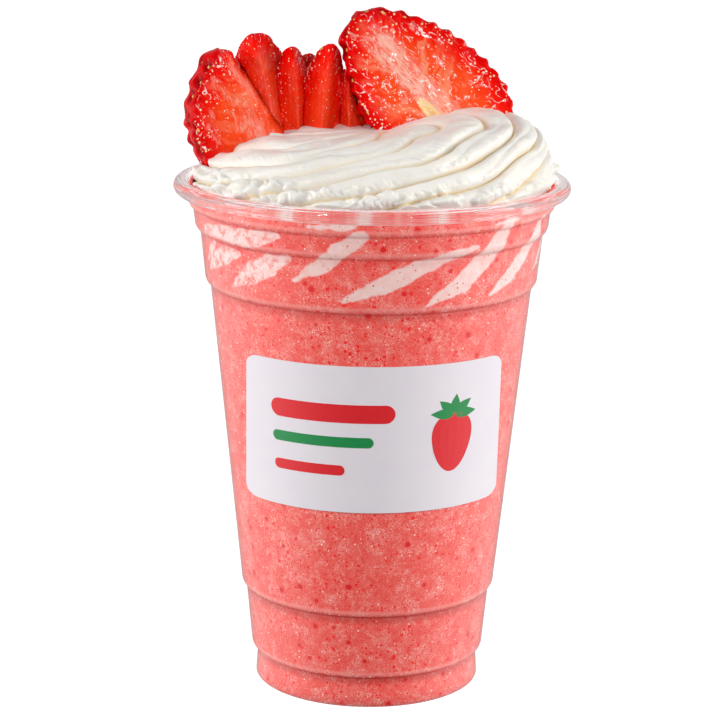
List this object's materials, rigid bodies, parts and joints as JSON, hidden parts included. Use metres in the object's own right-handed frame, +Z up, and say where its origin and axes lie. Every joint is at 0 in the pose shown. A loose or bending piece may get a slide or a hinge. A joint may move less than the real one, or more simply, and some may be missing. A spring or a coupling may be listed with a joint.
{
  "type": "strawberry milkshake",
  "caption": "Strawberry milkshake in a clear disposable cup, topped with a piped cream swirl, fanned strawberry wedges and a thick strawberry slice, with a plain label.",
  "frame": {"origin": "centre of the foot, on the surface that the cup stands on", "axes": "+Z up along the cup's axis, -Y towards the label, +X to the right of someone facing the label"},
  "size_m": [0.0978, 0.0978, 0.1689],
  "materials": {
    "clear_plastic": "gloss",
    "milkshake": "satin",
    "cream": "satin",
    "label_paper": "satin",
    "strawberry": "gloss"
  },
  "bodies": {
    "root": {"cup": "clear_plastic", "milkshake": "milkshake", "whipped_cream": "cream", "label": "label_paper", "strawberry_slice": "strawberry", "strawberry_left": "strawberry", "strawberry_fan_a": "strawberry", "strawberry_fan_b": "strawberry", "strawberry_fan_c": "strawberry", "strawberry_fan_d": "strawberry", "strawberry_tip": "strawberry"}
  },
  "joints": []
}
